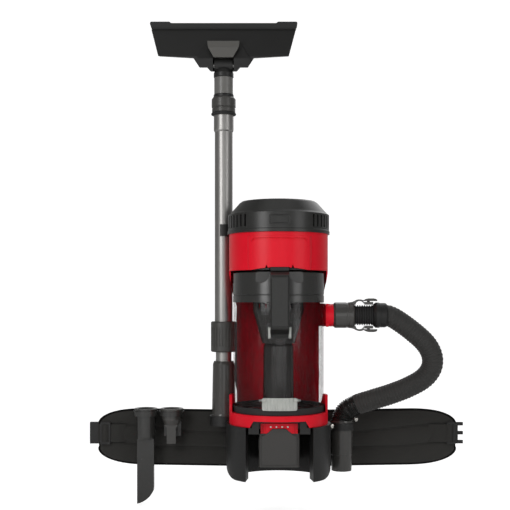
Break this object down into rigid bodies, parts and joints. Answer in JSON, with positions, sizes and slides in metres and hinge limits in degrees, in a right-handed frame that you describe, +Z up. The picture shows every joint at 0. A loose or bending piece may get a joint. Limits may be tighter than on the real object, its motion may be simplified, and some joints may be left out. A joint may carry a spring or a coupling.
{
  "type": "backpack vacuum cleaner",
  "caption": "Cordless backpack vacuum cleaner with a clear slide-out dust bin, padded harness, short hose, telescopic wand with floor tool, and belt-held hand tools.",
  "frame": {"origin": "middle of the harness pad's rear face, on the waist belt's centre line, where the machine lies on the wearer's back", "axes": "+Z up along the canister; +Y towards the wearer; +X to the side of the hose inlet"},
  "size_m": [0.79, 0.307, 1.002],
  "materials": {
    "dark_plastic": "moulded, fine grain",
    "cap_plastic": "moulded, satin",
    "red_plastic": "moulded, semi gloss",
    "grey_plastic": "moulded, satin",
    "neck_plastic": "moulded, satin",
    "pack_grey": "moulded, fine grain",
    "clear_plastic": "clear polycarbonate",
    "latch_clear": "translucent, ribbed",
    "gauge_white": "lamp window",
    "aluminium": "drawn tube, satin",
    "steel": "pin and motor can",
    "rubber": "matt rubber",
    "hose_mesh": "hose under a woven sleeve",
    "belt_fabric": "padded nylon",
    "webbing": "woven strap",
    "brush_fibre": "dense bristle strip",
    "filter_paper": "pleated paper"
  },
  "bodies": {
    "vac": {"exhaust_cap": "cap_plastic", "motor_housing": "red_plastic", "motor_deck": "dark_plastic", "motor": "steel", "back_frame": "red_plastic", "base_skirt": "red_plastic", "base_shell": "cap_plastic", "battery_dock": "dark_plastic", "inlet_port": "red_plastic", "hose_connector": "dark_plastic", "hose_bellows": "rubber", "hose_sleeve_end": "dark_plastic", "hose": "hose_mesh", "hose_end_cuff": "grey_plastic", "side_clips": "dark_plastic", "harness_plate": "dark_plastic", "back_pad": "belt_fabric", "shoulder_straps": "belt_fabric", "strap_buckles": "dark_plastic", "grab_handle": "dark_plastic"},
    "impeller": {"impeller": "grey_plastic"},
    "bin": {"bin_shell": "clear_plastic", "bin_collar": "cap_plastic", "bin_handle": "grey_plastic", "handle_catch": "dark_plastic", "separator_bucket": "dark_plastic", "cyclone_tube": "dark_plastic", "filter": "filter_paper", "bin_door": "dark_plastic", "door_ring": "rubber", "door_pin": "steel"},
    "door_latch": {"door_latch": "latch_clear"},
    "release_button": {"release_button": "dark_plastic"},
    "battery": {"battery_case": "pack_grey", "battery_top": "red_plastic", "battery_gauge": "gauge_white"},
    "battery_button_left": {"battery_button_left": "red_plastic"},
    "battery_button_right": {"battery_button_right": "red_plastic"},
    "hose_button_upper": {"hose_button_upper": "grey_plastic"},
    "hose_button_lower": {"hose_button_lower": "grey_plastic"},
    "wand": {"wand_outer_tube": "aluminium", "wand_collar": "grey_plastic", "wand_o_ring": "rubber"},
    "wand_inner": {"wand_inner_tube": "aluminium", "wand_grip": "cap_plastic"},
    "wand_lock": {"lock_collar": "dark_plastic"},
    "floor_neck": {"tool_neck": "dark_plastic", "neck_sleeve": "neck_plastic"},
    "floor_head": {"floor_head": "dark_plastic", "hinge_cover": "neck_plastic", "head_pin": "steel", "floor_bumper": "rubber", "floor_brushes": "brush_fibre"},
    "belt_left": {"belt_left": "belt_fabric", "tool_holders": "dark_plastic", "left_buckle": "dark_plastic"},
    "belt_right": {"belt_right": "belt_fabric", "right_buckle": "dark_plastic"},
    "crevice": {"crevice_tool": "cap_plastic"},
    "brush": {"brush_tool": "cap_plastic"}
  },
  "joints": [
    {"name": "impeller_spin", "type": "hinge", "parent": "vac", "child": "impeller", "pos_m": [0, -0.125, 0.3529], "axis": [0, 0, 1], "continuous": true},
    {"name": "bin_slide", "type": "slide", "parent": "vac", "child": "bin", "axis": [0, -1, 0], "range_m": [0, 0.24]},
    {"name": "door_latch_pivot", "type": "hinge", "parent": "bin", "child": "door_latch", "pos_m": [0, -0.22, 0.0984], "axis": [-1, 0, 0], "range_deg": [0, 12], "stiffness_Nm_per_rad": 0.6},
    {"name": "release_press", "type": "slide", "parent": "vac", "child": "release_button", "axis": [0, 1, 0], "range_m": [0, 0.002], "stiffness_N_per_m": 900},
    {"name": "battery_slide", "type": "slide", "parent": "vac", "child": "battery", "axis": [0, -1, 0], "range_m": [0, 0.12]},
    {"name": "battery_button_left_press", "type": "slide", "parent": "battery", "child": "battery_button_left", "axis": [1, 0, 0], "range_m": [0, 0.0015], "stiffness_N_per_m": 900},
    {"name": "battery_button_right_press", "type": "slide", "parent": "battery", "child": "battery_button_right", "axis": [-1, 0, 0], "range_m": [0, 0.0015], "stiffness_N_per_m": 900},
    {"name": "hose_button_upper_press", "type": "slide", "parent": "vac", "child": "hose_button_upper", "axis": [0, 0, -1], "range_m": [0, 0.0015], "stiffness_N_per_m": 900},
    {"name": "hose_button_lower_press", "type": "slide", "parent": "vac", "child": "hose_button_lower", "axis": [0, 0, 1], "range_m": [0, 0.0015], "stiffness_N_per_m": 900},
    {"name": "wand_lift", "type": "slide", "parent": "vac", "child": "wand", "axis": [0, 0, 1], "range_m": [0, 0.06]},
    {"name": "wand_telescope", "type": "slide", "parent": "wand", "child": "wand_inner", "axis": [0, 0, -1], "range_m": [0, 0.35]},
    {"name": "lock_collar_slide", "type": "slide", "parent": "wand", "child": "wand_lock", "axis": [0, 0, -1], "range_m": [0, 0.006], "stiffness_N_per_m": 900},
    {"name": "floor_tool_swivel", "type": "hinge", "parent": "wand", "child": "floor_neck", "pos_m": [-0.112, -0.055, 0.73], "axis": [0, 0, 1], "range_deg": [-90, 90]},
    {"name": "floor_tool_pitch", "type": "hinge", "parent": "floor_neck", "child": "floor_head", "pos_m": [-0.112, -0.055, 0.776], "axis": [1, 0, 0], "range_deg": [0, 55]},
    {"name": "belt_left_swing", "type": "hinge", "parent": "vac", "child": "belt_left", "pos_m": [-0.098, -0.01, 0], "axis": [0, 0, -1], "range_deg": [0, 75]},
    {"name": "belt_right_swing", "type": "hinge", "parent": "vac", "child": "belt_right", "pos_m": [0.098, -0.01, 0], "axis": [0, 0, 1], "range_deg": [0, 75]},
    {"name": "crevice_tool_lift", "type": "slide", "parent": "belt_left", "child": "crevice", "axis": [0, 0, 1], "range_m": [0, 0.2]},
    {"name": "brush_tool_lift", "type": "slide", "parent": "belt_left", "child": "brush", "axis": [0, 0, 1], "range_m": [0, 0.085]}
  ]
}
